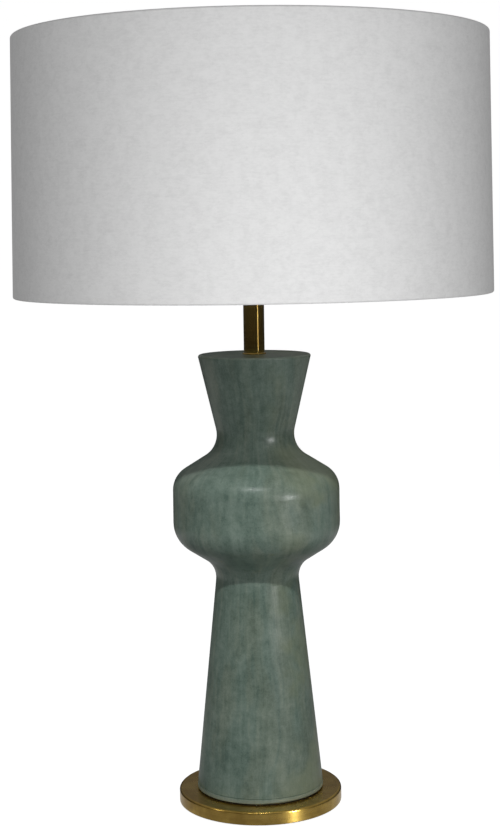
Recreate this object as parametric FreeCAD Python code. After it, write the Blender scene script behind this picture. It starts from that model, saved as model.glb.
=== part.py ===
import FreeCAD, Part
import math
import os

from FreeCAD import Vector

# A table lamp: a turned ceramic body on a brass disc, with a brass neck that carries a lampholder
# and a fabric drum shade. All lengths are in millimetres. The origin is the centre of the felt's
# underside, the lamp stands on z = 0 with +Z up, the front is -Y and the cord comes in at the back.

# Base disc, almost as wide as the belly, with a felt let into its underside and a nut recess
base_setback = 1.2
base_thickness = 12.6
base_top_edge = 2.0
base_bottom_edge = 0.8
felt_margin = 4.4
felt_thickness = 2.0
felt_proud = 1.0
felt_gap = 0.3
recess_radius = 20.0
recess_web = 2.4

# Cord inlet, a bushed hole from the back of the disc to the recess
bush_bore_radius = 2.8
bush_wall = 0.9
bush_length = 9.0
bush_lip = 1.1
bush_flange_thickness = 1.3
bush_flange_edge = 0.6
bush_gap = 0.05
spotface_depth = 0.5
spotface_gap = 0.3

# Clamping rod, a hollow threaded tube from the recess up into the lampholder, and its nut
rod_radius = 5.0
rod_wall = 1.0
rod_tail = 0.6
rod_entry = 9.0
rod_thread_gap = 0.05
rod_hole_gap = 0.3
washer_width = 4.5
washer_thickness = 1.0
lock_washer_width = 2.7
lock_washer_thickness = 0.8
lock_washer_split = 1.2
nut_land = 2.0
nut_height = 3.0
nut_chamfer = 0.5
nut_chamfer_rise = 1.0

# Rubber gasket under the ceramic foot
gasket_inset = 1.8
gasket_width = 10.0
gasket_thickness = 1.2

# Ceramic body: cone, belly, collar and flared mouth, each corner of the outline blended by an arc
foot_radius = 61.2
foot_edge = 1.2
cone_height = 217.1
waist_radius = 38.5
waist_blend = 21.9
shoulder_low_rise = 26.7
belly_radius = 79.9
belly_taper = 0.4
belly_low_blend = 29.5
belly_height = 60.0
belly_high_blend = 22.9
shoulder_high_rise = 28.7
collar_radius = 33.65
collar_blend = 24.4
flare_height = 87.5
mouth_radius = 53.9
mouth_edge = 2.0
body_wall = 6.0
mouth_wall = 7.0
floor_wall = 7.0
foot_ring_width = 13.0
foot_ring_height = 3.0
foot_ring_edge = 1.0
body_hole_gap = 1.5
glaze_line_height = 4.6
glaze_line_depth = 0.35
glaze_line_radius = 0.7

# Neck, a brass tube on a rounded seat ring
seat_lip = 1.5
seat_thickness = 1.5
seat_edge = 0.9
neck_radius = 9.9
neck_wall = 1.4
neck_length = 49.7

# Bulb: an opal envelope in a screw cap with a contact tip
bulb_tip_radius = 4.6
bulb_tip_height = 1.4
bulb_tip_edge = 0.9
bulb_insulator_height = 3.6
bulb_insulator_inset = 2.0
bulb_cap_radius = 13.05
bulb_cap_wall = 0.4
bulb_cap_height = 22.0
bulb_cap_taper = 2.0
bulb_neck_gap = 0.4
bulb_neck_depth = 9.0
bulb_throat_rise = 4.0
bulb_throat_blend = 12.0
bulb_radius = 30.0
bulb_shoulder = 12.0
bulb_length = 108.0
bulb_glass_wall = 1.0

# Lampholder, sized outward from the bulb's cap: screw shell, moulded core, brass shell and cap
bulb_gap = 0.3
screw_shell_wall = 0.5
screw_shell_height = 22.0
screw_shell_lip = 3.5
screw_shell_gap = 0.25
core_cup_wall = 2.4
core_cup_rim = 0.5
core_shoulder = 0.8
core_gap = 0.2
core_lip_gap = 0.3
shell_wall = 1.2
shell_gap = 0.1
shell_height = 16.0
shell_overlap = 4.0
shell_lip_thickness = 1.5
flange_width = 4.25
flange_thickness = 2.0
skirt_clearance = 1.85
skirt_wall = 1.4
skirt_height = 26.0
cap_wall = 1.2
cap_boss_height = 6.0
cap_dome_height = 12.0
cap_dome_blend = 8.0
cap_ledge_width = 1.9
cap_floor = 2.0
cap_nipple_wall = 2.4
lock_screw_radius = 1.5
lock_screw_sink = 0.4
lock_slot_depth = 0.8
lock_slot_width = 0.6
contact_width = 6.0
contact_thickness = 0.5
contact_arch = 1.6
contact_ramp = 2.0
contact_crank = 0.4
contact_edge_gap = 1.3
terminal_screw_radius = 1.5
terminal_shank_length = 5.0
terminal_head_radius = 2.8
terminal_head_height = 2.0
terminal_offset = 10.5

# Push bar switch, a bar across the lampholder that is pushed from one side to the other
switch_bar_radius = 2.8
switch_bar_length = 50.0
switch_bar_tip = 2.0
switch_travel = 6.0
switch_drop = 9.0
switch_gap = 0.3
bridge_length = 9.0
bridge_width = 4.0
bridge_sink = 0.8
leaf_height = 1.3
leaf_thickness = 1.0
leaf_width = 3.4
leaf_offset = 2.0

# Shade: a slightly tapered fabric drum on two wire rings, three spokes and a carrier ring
shade_bottom_radius = 225.0
shade_taper = 4.5
shade_height = 238.7
shade_drop = 34.8
cover_thickness = 0.8
hem_height = 9.0
hem_chamfer = 1.2
rim_wire = 3.0
rim_wire_gap = 0.05
spoke_wire = 3.0
spoke_count = 3
spoke_first_angle = 90.0
spoke_sink = 0.2
hem_slit_gap = 0.3
carrier_gap = 1.25
carrier_overhang = 0.6
carrier_thickness = 2.0
ring_nut_gap = 0.08
ring_nut_overhang = 3.5
ring_nut_collar = 3.8
ring_nut_flange_height = 2.6
ring_nut_height = 7.0
ring_nut_grips = 20
ring_nut_grip_radius = 1.5
ring_nut_grip_depth = 0.8

# Radii that follow from the sizes above
base_radius = belly_radius - base_setback
felt_seat_radius = base_radius - felt_margin
cord_hole_radius = bush_bore_radius + bush_wall + bush_gap
rod_hole_radius = rod_radius + rod_hole_gap
rod_thread_radius = rod_radius + rod_thread_gap
screw_shell_bore = bulb_cap_radius + bulb_gap
screw_shell_radius = screw_shell_bore + screw_shell_wall
screw_shell_lip_bore = screw_shell_bore - screw_shell_lip
core_cup_bore = screw_shell_radius + screw_shell_gap
core_cup_radius = core_cup_bore + core_cup_wall
core_radius = core_cup_radius + core_shoulder
shell_bore = core_radius + core_gap
shell_radius = shell_bore + shell_wall
skirt_bore = core_cup_radius + skirt_clearance
skirt_radius = skirt_bore + skirt_wall
flange_radius = skirt_radius + flange_width
cap_bore = shell_radius + shell_gap
cap_radius = cap_bore + cap_wall
carrier_radius = flange_radius + carrier_overhang

# Heights that follow from the sizes above, from the floor up
plate_bottom = felt_proud
plate_top = plate_bottom + base_thickness
cord_hole_level = (plate_bottom + plate_top) / 2
recess_ceiling = plate_top - recess_web
lock_washer_top = recess_ceiling - washer_thickness
nut_top = lock_washer_top - lock_washer_thickness
nut_bottom = nut_top - nut_height
foot_bottom = plate_top + gasket_thickness
waist_level = foot_bottom + cone_height
belly_low_level = waist_level + shoulder_low_rise
belly_high_level = belly_low_level + belly_height
collar_level = belly_high_level + shoulder_high_rise
mouth_level = collar_level + flare_height
neck_bottom = mouth_level + seat_thickness
neck_top = neck_bottom + neck_length
rod_top = neck_top + rod_entry
boss_top = neck_top + cap_boss_height
shell_bottom = boss_top + cap_dome_height
cap_top = shell_bottom + shell_overlap
flange_bottom = cap_top + shell_height
flange_top = flange_bottom + flange_thickness
skirt_top = flange_top + skirt_height
switch_level = flange_bottom - switch_drop
bridge_bottom = switch_level + switch_bar_radius - bridge_sink
leaf_bottom = switch_level + switch_bar_radius + switch_gap
contact_top = flange_bottom + contact_thickness + contact_arch
bulb_tip_top = contact_top + bulb_tip_height
bulb_cap_bottom = bulb_tip_top + bulb_insulator_height
bulb_cap_top = bulb_cap_bottom + bulb_cap_height
bulb_top = contact_top + bulb_length
carrier_top = flange_top + carrier_thickness
shade_bottom = flange_top - shade_drop
shade_top = shade_bottom + shade_height


def rounded_corner(before, here, after, blend):
    """Start, middle and end of the tangent arc that blends one corner of an outline."""
    to_before = (before - here).normalize()
    to_after = (after - here).normalize()
    half_angle = to_before.getAngle(to_after) / 2
    reach = blend / math.tan(half_angle)
    bisector = (to_before + to_after).normalize()
    middle = here + bisector * (blend / math.sin(half_angle) - blend)
    return here + to_before * reach, middle, here + to_after * reach


def turned(corners):
    """Solid of revolution about Z of the closed outline through corners (radius, height, blend)."""
    points = [Vector(radius, 0, height) for radius, height, blend in corners]
    arcs = []
    for i, (radius, height, blend) in enumerate(corners):
        if blend > 0:
            arcs.append(rounded_corner(points[i - 1], points[i], points[(i + 1) % len(points)], blend))
        else:
            arcs.append((points[i], None, points[i]))
    edges = []
    for i, (start, middle, end) in enumerate(arcs):
        if middle is not None:
            edges.append(Part.Arc(start, middle, end).toShape())
        following = arcs[(i + 1) % len(arcs)][0]
        if end.distanceToPoint(following) > 1e-6:
            edges.append(Part.LineSegment(end, following).toShape())
    return Part.Face(Part.Wire(edges)).revolve(Vector(0, 0, 0), Vector(0, 0, 1), 360)


def ring(inner, outer, bottom, top):
    """Flat-ended ring about Z."""
    return turned([(inner, bottom, 0), (outer, bottom, 0), (outer, top, 0), (inner, top, 0)])


def disc(radius, bottom, top, x=0.0, y=0.0):
    """Flat-ended disc with an upright axis."""
    return Part.makeCylinder(radius, top - bottom, Vector(x, y, bottom))


def block(width, depth, bottom, top, x=0.0, y=0.0):
    """Box centred on (x, y) in plan."""
    corner = Vector(x - width / 2, y - depth / 2, bottom)
    return Part.makeBox(width, depth, top - bottom, corner)


def base_plate():
    """Brass disc with the recess for the nut, the seat for the felt and the cord hole."""
    plate = turned([
        (rod_hole_radius, plate_top, 0),
        (base_radius, plate_top, base_top_edge),
        (base_radius, plate_bottom, base_bottom_edge),
        (felt_seat_radius, plate_bottom, 0),
        (felt_seat_radius, felt_thickness, 0),
        (recess_radius, felt_thickness, 0),
        (recess_radius, recess_ceiling, 0),
        (rod_hole_radius, recess_ceiling, 0),
    ])
    start = Vector(0, recess_radius - cord_hole_radius, cord_hole_level)
    cord_hole = Part.makeCylinder(cord_hole_radius, base_radius, start, Vector(0, 1, 0))
    seat = Vector(0, base_radius - spotface_depth, cord_hole_level)
    spotface_radius = bush_bore_radius + bush_wall + bush_lip + spotface_gap
    spotface = Part.makeCylinder(spotface_radius, spotface_depth * 2, seat, Vector(0, 1, 0))
    return plate.cut(cord_hole).cut(spotface)


def base_felt():
    """Felt disc let into the underside of the base, which the lamp stands on."""
    return disc(felt_seat_radius - felt_gap, 0, felt_thickness)


def cord_bush():
    """Flanged bush that lines the cord hole."""
    body = bush_bore_radius + bush_wall
    bush = turned([
        (bush_bore_radius, -bush_length, 0),
        (body, -bush_length, 0),
        (body, 0, 0),
        (body + bush_lip, 0, 0),
        (body + bush_lip, bush_flange_thickness, bush_flange_edge),
        (bush_bore_radius, bush_flange_thickness, bush_flange_edge),
    ])
    bush.rotate(Vector(0, 0, 0), Vector(1, 0, 0), -90)
    bush.translate(Vector(0, base_radius - spotface_depth, cord_hole_level))
    return bush


def rod_washer():
    """Plain washer against the ceiling of the recess."""
    return ring(rod_hole_radius, rod_radius + washer_width, lock_washer_top, recess_ceiling)


def rod_lock_washer():
    """Split spring washer between the plain washer and the nut."""
    outer = rod_radius + lock_washer_width
    washer = ring(rod_hole_radius, outer, nut_top, lock_washer_top)
    return washer.cut(block(outer, lock_washer_split, nut_top, lock_washer_top, x=outer))


def rod_nut():
    """Hexagon nut that clamps the lamp together from below, its lower corners chamfered."""
    inradius = rod_radius + nut_land
    circumradius = inradius / math.cos(math.pi / 6)
    corners = []
    for i in range(7):
        angle = math.pi / 3 * i
        corners.append(Vector(circumradius * math.cos(angle), circumradius * math.sin(angle), nut_bottom))
    hexagon = Part.Face(Part.makePolygon(corners)).extrude(Vector(0, 0, nut_height))
    envelope = turned([
        (rod_thread_radius, nut_bottom, 0),
        (inradius, nut_bottom, 0),
        (circumradius + nut_chamfer, nut_bottom + nut_chamfer_rise, 0),
        (circumradius + nut_chamfer, nut_top, 0),
        (rod_thread_radius, nut_top, 0),
    ])
    return hexagon.common(envelope)


def threaded_rod():
    """Hollow rod that draws the base, the body and the neck together and passes the lead."""
    return ring(rod_radius - rod_wall, rod_radius, nut_bottom - rod_tail, rod_top)


def foot_gasket():
    """Rubber ring between the disc and the ceramic foot."""
    outer = foot_radius - gasket_inset
    return ring(outer - gasket_width, outer, plate_top, foot_bottom)


def parallel_line(start, end, distance):
    """A point on the line beside start-end, distance to its left, and the line's direction."""
    along = (end - start).normalize()
    return start + Vector(-along.z, 0, along.x) * distance, along


def crossing(first, second):
    """Where two lines of the outline's plane, each a point and a direction, cross."""
    p, u = first
    q, v = second
    step = ((q.x - p.x) * v.z - (q.z - p.z) * v.x) / (u.x * v.z - u.z * v.x)
    return p + u * step


def body_outline():
    """Outer corners of the ceramic body, from the foot up to the mouth."""
    return [
        (foot_radius, foot_bottom, foot_edge),
        (waist_radius, waist_level, waist_blend),
        (belly_radius, belly_low_level, belly_low_blend),
        (belly_radius - belly_taper, belly_high_level, belly_high_blend),
        (collar_radius, collar_level, collar_blend),
        (mouth_radius, mouth_level, mouth_edge),
    ]


def body_cavity():
    """Corners of the cavity one wall inside the outline, from the mouth down to the floor."""
    outline = body_outline()
    points = [Vector(radius, 0, level) for radius, level, blend in outline]
    walls = [parallel_line(points[i], points[i + 1], body_wall) for i in range(len(points) - 1)]
    level_way = Vector(1, 0, 0)
    floor = (Vector(0, 0, foot_bottom + foot_ring_height + floor_wall), level_way)
    ceiling = (Vector(0, 0, mouth_level - mouth_wall), level_way)
    lines = [floor] + walls + [ceiling]
    found = [crossing(lines[i], lines[i + 1]) for i in range(len(lines) - 1)]
    return [(point.x, point.z, 0) for point in reversed(found)]


def ceramic_body():
    """Hollow slip-cast body: foot ring, raised floor and closed top, with a rod hole through both."""
    cavity = body_cavity()
    hole = rod_radius + body_hole_gap
    underside = foot_bottom + foot_ring_height
    corners = body_outline()
    corners += [(hole, mouth_level, 0), (hole, mouth_level - mouth_wall, 0)]
    corners += cavity
    corners += [(hole, underside + floor_wall, 0), (hole, underside, 0)]
    corners += [(foot_radius - foot_ring_width, underside, foot_ring_edge)]
    corners += [(foot_radius - foot_ring_width, foot_bottom, foot_ring_edge)]
    cone_slope = (foot_radius - waist_radius) / cone_height
    surface = foot_radius - cone_slope * glaze_line_height
    groove = Part.makeTorus(surface + glaze_line_radius - glaze_line_depth, glaze_line_radius,
                            Vector(0, 0, foot_bottom + glaze_line_height))
    return turned(corners).cut(groove)


def neck_seat():
    """Brass ring with a rounded rim, on top of the body, that the neck stands on."""
    outer = neck_radius + seat_lip
    return turned([
        (rod_hole_radius, mouth_level, 0),
        (outer, mouth_level, 0),
        (outer, neck_bottom, seat_edge),
        (rod_hole_radius, neck_bottom, 0),
    ])


def neck_tube():
    """Brass tube between the body and the lampholder."""
    return ring(neck_radius - neck_wall, neck_radius, neck_bottom, neck_top)


def lock_screw_level():
    """Height of the cap's lock screw, half way up the boss."""
    return neck_top + cap_boss_height / 2


def holder_cap():
    """Domed brass cap of the lampholder, screwed to the rod, with the ledge that the shell meets."""
    ledge = cap_bore - cap_ledge_width
    dome_run = cap_radius - neck_radius
    floor_level = boss_top + cap_floor
    cap = turned([
        (rod_thread_radius, neck_top, 0),
        (neck_radius, neck_top, 0),
        (neck_radius, boss_top, 0),
        (cap_radius, shell_bottom - cap_wall, cap_dome_blend),
        (cap_radius, cap_top, 0),
        (cap_bore, cap_top, 0),
        (cap_bore, shell_bottom, 0),
        (ledge, shell_bottom, 0),
        (ledge, floor_level + (shell_bottom - floor_level) * (ledge - neck_radius) / dome_run, 0),
        (neck_radius, floor_level, 0),
        (rod_thread_radius + cap_nipple_wall, floor_level, 0),
        (rod_thread_radius + cap_nipple_wall, rod_top, 0),
        (rod_thread_radius, rod_top, 0),
    ])
    axis = Vector(0, 0, lock_screw_level())
    return cap.cut(Part.makeCylinder(lock_screw_radius, neck_radius + cap_wall, axis, Vector(0, 1, 0)))


def cap_lock_screw():
    """Slotted grub screw that locks the cap on the rod."""
    level = lock_screw_level()
    end = neck_radius - lock_screw_sink
    start = Vector(0, rod_thread_radius, level)
    screw = Part.makeCylinder(lock_screw_radius, end - rod_thread_radius, start, Vector(0, 1, 0))
    half_slot = lock_slot_width / 2
    slot = block(lock_screw_radius * 3, lock_slot_depth * 2, level - half_slot, level + half_slot, y=end)
    return screw.cut(slot)


def holder_shell():
    """Brass shell with the flange that carries the shade and the skirt for the ring nut."""
    lip_bore = core_cup_radius + core_lip_gap
    lip_top = flange_bottom + shell_lip_thickness
    shell = turned([
        (shell_bore, shell_bottom, 0),
        (shell_radius, shell_bottom, 0),
        (shell_radius, flange_bottom, 0),
        (flange_radius, flange_bottom, 0),
        (flange_radius, flange_top, 0),
        (skirt_radius, flange_top, 0),
        (skirt_radius, skirt_top, 0),
        (skirt_bore, skirt_top, 0),
        (skirt_bore, lip_top, 0),
        (lip_bore, lip_top, 0),
        (lip_bore, flange_bottom, 0),
        (shell_bore, flange_bottom, 0),
    ])
    start = Vector(-flange_radius, 0, switch_level)
    bar_hole = Part.makeCylinder(switch_bar_radius + switch_gap, flange_radius * 2, start, Vector(1, 0, 0))
    return shell.cut(bar_hole)


def terminal_screw(x):
    """Cheese-head terminal screw, driven up into the core."""
    shank = disc(terminal_screw_radius, shell_bottom, shell_bottom + terminal_shank_length, x=x)
    head = disc(terminal_head_radius, shell_bottom - terminal_head_height, shell_bottom, x=x)
    return shank.fuse(head)


def terminal_screws():
    """The two terminal screws under the core."""
    return Part.makeCompound([terminal_screw(-terminal_offset), terminal_screw(terminal_offset)])


def holder_core():
    """Moulded insulating core: a block with the switch channel, and a cup for the screw shell."""
    cup_top = flange_bottom + screw_shell_height + core_cup_rim
    core = turned([
        (0, shell_bottom, 0),
        (core_radius, shell_bottom, 0),
        (core_radius, flange_bottom, 0),
        (core_cup_radius, flange_bottom, 0),
        (core_cup_radius, cup_top, 0),
        (core_cup_bore, cup_top, 0),
        (core_cup_bore, flange_bottom, 0),
        (0, flange_bottom, 0),
    ])
    half = switch_bar_radius + switch_gap
    channel = block(core_radius * 3, half * 2, switch_level - half, switch_level + half)
    chamber = block(bridge_length + switch_travel + switch_gap * 2, bridge_width + switch_gap * 2,
                    switch_level, leaf_bottom + leaf_height)
    return core.cut(channel).cut(chamber).cut(terminal_screws())


def screw_shell():
    """Thin brass shell that takes the bulb's cap, with an inward lip at its foot."""
    lip_top = flange_bottom + screw_shell_wall
    return turned([
        (screw_shell_lip_bore, flange_bottom, 0),
        (screw_shell_radius, flange_bottom, 0),
        (screw_shell_radius, flange_bottom + screw_shell_height, 0),
        (screw_shell_bore, flange_bottom + screw_shell_height, 0),
        (screw_shell_bore, lip_top, 0),
        (screw_shell_lip_bore, lip_top, 0),
    ])


def centre_contact():
    """Sprung tongue under the bulb's tip: a foot on the core, a ramp and a flat pad."""
    half_pad = contact_width / 2
    foot_end = contact_edge_gap - screw_shell_lip_bore
    foot_top = flange_bottom + contact_thickness
    pad_bottom = contact_top - contact_thickness
    side = [
        Vector(foot_end, -half_pad, flange_bottom),
        Vector(-half_pad - contact_ramp, -half_pad, flange_bottom),
        Vector(-half_pad, -half_pad, pad_bottom),
        Vector(half_pad, -half_pad, pad_bottom),
        Vector(half_pad, -half_pad, contact_top),
        Vector(-half_pad - contact_crank, -half_pad, contact_top),
        Vector(-half_pad - contact_ramp - contact_crank, -half_pad, foot_top),
        Vector(foot_end, -half_pad, foot_top),
    ]
    return Part.Face(Part.makePolygon(side + side[:1])).extrude(Vector(0, contact_width, 0))


def switch_bar():
    """Push bar with domed ends and a flat for the bridge; at rest it stands out on the -X side."""
    half = switch_bar_length / 2
    bar = turned([
        (0, -half, 0),
        (switch_bar_radius, -half, switch_bar_tip),
        (switch_bar_radius, half, switch_bar_tip),
        (0, half, 0),
    ])
    bar.rotate(Vector(0, 0, 0), Vector(0, 1, 0), 90)
    bar.translate(Vector(-switch_travel / 2, 0, switch_level))
    flat = block(bridge_length, switch_bar_radius * 3, bridge_bottom, leaf_bottom, x=-switch_travel / 2)
    return bar.cut(flat)


def bridge_contact():
    """Brass strip on the flat of the push bar, that joins the two leaves."""
    return block(bridge_length, bridge_width, bridge_bottom, leaf_bottom, x=-switch_travel / 2)


def contact_leaves():
    """Two fixed leaves above the bridge: the one at -X is met only while the switch is on."""
    leaves = []
    for x in (-switch_travel / 2 - leaf_offset, leaf_thickness / 2):
        leaves.append(block(leaf_thickness, leaf_width, leaf_bottom, leaf_bottom + leaf_height, x=x))
    return Part.makeCompound(leaves)


def bulb_tip():
    """Contact tip at the foot of the bulb."""
    return turned([
        (0, contact_top, 0),
        (bulb_tip_radius, contact_top, bulb_tip_edge),
        (bulb_tip_radius, bulb_tip_top, 0),
        (0, bulb_tip_top, 0),
    ])


def bulb_insulator():
    """Black glass cone between the tip and the cap."""
    return turned([
        (0, bulb_tip_top, 0),
        (bulb_tip_radius, bulb_tip_top, 0),
        (bulb_cap_radius - bulb_insulator_inset, bulb_cap_bottom, 0),
        (0, bulb_cap_bottom, 0),
    ])


def bulb_cap():
    """Screw cap of the bulb, a thin cup."""
    bore = bulb_cap_radius - bulb_cap_wall
    return turned([
        (0, bulb_cap_bottom, 0),
        (bulb_cap_radius - bulb_insulator_inset, bulb_cap_bottom, 0),
        (bulb_cap_radius, bulb_cap_bottom + bulb_cap_taper, 0),
        (bulb_cap_radius, bulb_cap_top, 0),
        (bore, bulb_cap_top, 0),
        (bore, bulb_cap_bottom + bulb_cap_taper, 0),
        (0, bulb_cap_bottom + bulb_cap_taper, 0),
    ])


def envelope(wall):
    """The bulb's envelope, as a full solid drawn in by a wall: neck, throat and round crown."""
    neck = bulb_cap_radius - bulb_cap_wall - bulb_neck_gap - wall
    crown = bulb_radius - wall
    shoulder_level = bulb_top - bulb_radius - bulb_shoulder
    return turned([
        (0, bulb_cap_top - bulb_neck_depth + wall, 0),
        (neck, bulb_cap_top - bulb_neck_depth + wall, 0),
        (neck, bulb_cap_top + bulb_throat_rise, bulb_throat_blend + wall),
        (crown, shoulder_level, crown),
        (crown, bulb_top - wall, crown),
        (0, bulb_top - wall, 0),
    ])


def bulb_glass():
    """Opal glass envelope, a thin closed shell."""
    return envelope(0).cut(envelope(bulb_glass_wall))


def shade_radius(level):
    """Outer radius of the drum at a height."""
    rise = (level - shade_bottom) / shade_height
    return shade_bottom_radius - shade_taper * rise


def hem_corners(rim_level, inward):
    """Corners of one hem, from the wall outside the rim, round the wire and back to the wall inside."""
    pocket = cover_thickness + rim_wire + rim_wire_gap * 2
    fold = pocket + cover_thickness
    shoulder = rim_level + hem_chamfer * inward
    lip_end = rim_level + hem_height * inward
    floor = rim_level + cover_thickness * inward
    return [
        (shade_radius(shoulder), shoulder, 0),
        (shade_radius(rim_level) - hem_chamfer, rim_level, 0),
        (shade_radius(rim_level) - fold + hem_chamfer, rim_level, 0),
        (shade_radius(shoulder) - fold, shoulder, 0),
        (shade_radius(lip_end) - fold, lip_end, 0),
        (shade_radius(lip_end) - pocket, lip_end, 0),
        (shade_radius(floor) - pocket, floor, 0),
        (shade_radius(floor) - cover_thickness, floor, 0),
    ]


def spoke_angles():
    """Where the spokes stand, in degrees from +X."""
    return [spoke_first_angle + 360 / spoke_count * i for i in range(spoke_count)]


def turned_to(shape, angle):
    """A copy of the shape turned about Z."""
    copy = shape.copy()
    copy.rotate(Vector(0, 0, 0), Vector(0, 0, 1), angle)
    return copy


def shade_cover():
    """Fabric drum, turned in over the wire ring at each rim and slit where a spoke passes."""
    lower = hem_corners(shade_bottom, 1)
    upper = hem_corners(shade_top, -1)
    pocket = cover_thickness + rim_wire + rim_wire_gap * 2
    lip = shade_bottom_radius - pocket - cover_thickness / 2
    slit = block(cover_thickness * 3, spoke_wire + hem_slit_gap * 2,
                 shade_bottom + cover_thickness, shade_bottom + hem_height, x=lip)
    slits = [turned_to(slit, angle) for angle in spoke_angles()]
    return turned(lower + upper[::-1]).cut(Part.makeCompound(slits))


def rim_ring(rim_level, inward):
    """Wire ring in the hem at one rim."""
    level = rim_level + (cover_thickness + rim_wire_gap + rim_wire / 2) * inward
    centre = shade_radius(level) - cover_thickness - rim_wire_gap - rim_wire / 2
    return Part.makeTorus(centre, rim_wire / 2, Vector(0, 0, level))


def shade_carrier():
    """Flat ring that drops over the skirt and rests on the flange."""
    return ring(skirt_radius + carrier_gap, carrier_radius, flange_top, carrier_top)


def shade_spoke(angle):
    """Straight wire, welded between the rim of the carrier ring and the lower wire ring."""
    rim_level = shade_bottom + cover_thickness + rim_wire_gap + rim_wire / 2
    rim_radius = shade_radius(rim_level) - cover_thickness - rim_wire_gap - rim_wire / 2
    start = Vector(carrier_radius - spoke_wire, 0, carrier_top - spoke_sink - spoke_wire / 2)
    end = Vector(rim_radius, 0, rim_level)
    wire = Part.makeCylinder(spoke_wire / 2, (end - start).Length, start, end - start)
    spoke = wire.cut(disc(carrier_radius, shade_bottom, shade_top)).cut(rim_ring(shade_bottom, 1))
    return turned_to(spoke, angle)


def shade_ring_nut():
    """Ring nut on the skirt that clamps the carrier ring on the flange, with grips round its rim."""
    bore = skirt_radius + ring_nut_gap
    outer = carrier_radius + ring_nut_overhang - carrier_overhang
    collar = skirt_radius + ring_nut_collar
    flange_level = carrier_top + ring_nut_flange_height
    nut = turned([
        (bore, carrier_top, 0),
        (outer, carrier_top, 0),
        (outer, flange_level, 0),
        (collar, flange_level, 0),
        (collar, carrier_top + ring_nut_height, 0),
        (bore, carrier_top + ring_nut_height, 0),
    ])
    reach = outer + ring_nut_grip_radius - ring_nut_grip_depth
    grips = []
    for i in range(ring_nut_grips):
        angle = math.pi * 2 / ring_nut_grips * i
        grips.append(disc(ring_nut_grip_radius, carrier_top, flange_level,
                          x=reach * math.cos(angle), y=reach * math.sin(angle)))
    return nut.cut(Part.makeCompound(grips))


def pieces():
    """Every piece of the lamp by name."""
    made = {
        "base_plate": base_plate(),
        "base_felt": base_felt(),
        "cord_bush": cord_bush(),
        "rod_washer": rod_washer(),
        "rod_lock_washer": rod_lock_washer(),
        "rod_nut": rod_nut(),
        "threaded_rod": threaded_rod(),
        "foot_gasket": foot_gasket(),
        "ceramic_body": ceramic_body(),
        "neck_seat": neck_seat(),
        "neck_tube": neck_tube(),
        "holder_cap": holder_cap(),
        "cap_lock_screw": cap_lock_screw(),
        "holder_shell": holder_shell(),
        "holder_core": holder_core(),
        "terminal_screws": terminal_screws(),
        "screw_shell": screw_shell(),
        "centre_contact": centre_contact(),
        "contact_leaves": contact_leaves(),
        "switch_bar": switch_bar(),
        "bridge_contact": bridge_contact(),
        "bulb_tip": bulb_tip(),
        "bulb_insulator": bulb_insulator(),
        "bulb_cap": bulb_cap(),
        "bulb_glass": bulb_glass(),
        "shade_cover": shade_cover(),
        "shade_bottom_ring": rim_ring(shade_bottom, 1),
        "shade_top_ring": rim_ring(shade_top, -1),
        "shade_carrier": shade_carrier(),
        "shade_ring_nut": shade_ring_nut(),
    }
    for i, angle in enumerate(spoke_angles()):
        made["shade_spoke_%d" % (i + 1)] = shade_spoke(angle)
    return made


os.makedirs("parts", exist_ok=True)
for name, shape in pieces().items():
    shape.exportStep("parts/%s.step" % name)
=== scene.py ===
"""Finishes, cloth, threads, studio and camera for a table lamp with a drum shade.

Lengths are in metres, in the lamp's own frame: the origin is the centre of the felt's underside,
+Z is up, -Y is the front and the cord inlet is at the back.
"""

import logging
import math
import random
from collections.abc import Callable, Sequence
from dataclasses import dataclass
from enum import Enum
from functools import cache

import bpy
from bpy.types import ID, Collection, Material, Mesh, Node, NodeSocket, Object, World
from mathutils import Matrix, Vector


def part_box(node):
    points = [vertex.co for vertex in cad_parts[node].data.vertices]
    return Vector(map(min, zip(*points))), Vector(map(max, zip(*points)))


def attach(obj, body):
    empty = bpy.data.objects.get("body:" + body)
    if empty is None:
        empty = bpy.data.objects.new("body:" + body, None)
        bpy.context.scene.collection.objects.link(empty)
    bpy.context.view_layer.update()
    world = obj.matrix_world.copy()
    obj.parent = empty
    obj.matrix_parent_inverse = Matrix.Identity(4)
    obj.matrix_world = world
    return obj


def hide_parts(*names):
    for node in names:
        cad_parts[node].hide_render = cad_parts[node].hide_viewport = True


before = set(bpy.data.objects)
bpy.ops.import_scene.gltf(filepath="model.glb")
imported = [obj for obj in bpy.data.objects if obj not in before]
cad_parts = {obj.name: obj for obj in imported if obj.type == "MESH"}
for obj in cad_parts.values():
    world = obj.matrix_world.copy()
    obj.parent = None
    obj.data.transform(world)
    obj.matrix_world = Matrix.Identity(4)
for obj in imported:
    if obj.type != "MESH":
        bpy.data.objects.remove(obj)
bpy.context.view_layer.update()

Colour = tuple[float, float, float]

MM = 0.001
LOG = logging.getLogger("lamp")


def dimmed(colour: Colour, share: float) -> Colour:
    """The colour with a share of its light taken away."""
    return tuple(part * (1.0 - share) for part in colour)


def linked(name: str, data: ID) -> Object:
    """Makes an object in the scene.

    Args:
        name: Its name.
        data: Its mesh, light or camera.

    Returns:
        The object.
    """
    thing = bpy.data.objects.new(name, data)
    bpy.context.scene.collection.objects.link(thing)
    return thing


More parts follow.
